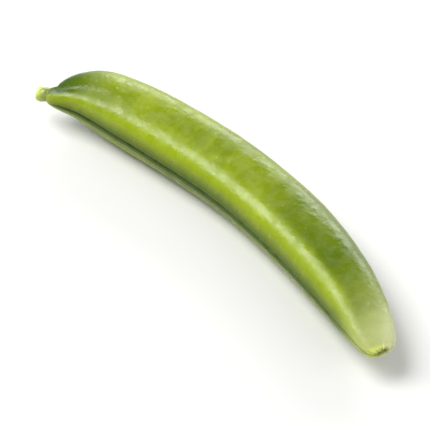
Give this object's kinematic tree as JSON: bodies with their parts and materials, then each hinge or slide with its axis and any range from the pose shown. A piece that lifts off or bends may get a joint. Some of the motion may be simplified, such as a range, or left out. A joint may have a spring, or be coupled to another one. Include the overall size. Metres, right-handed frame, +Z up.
{
  "type": "sugar snap pea pod",
  "caption": "Long curved sugar snap pea pod with a stalk stub at one end, a snapped-off tip at the other and a lipped seam, lying on its side.",
  "frame": {"origin": "middle of the pod's bounding box in plan, on the surface that the pod lies on", "axes": "+X along the pod from the stub of the stalk to the snapped-off tip; +Y toward the single seam, on the outside of the curve, so the double seam is at -Y; +Z up, through the two broad sides"},
  "size_m": [0.0856, 0.0206, 0.0103],
  "materials": {
    "pod": "fresh yellow-green pod skin, smooth and waxy with a satin sheen, deeper green beside the stub and along the double seam, paler on the shoulders and at both broken ends"
  },
  "bodies": {
    "root": {"pod": "pod"}
  },
  "joints": []
}
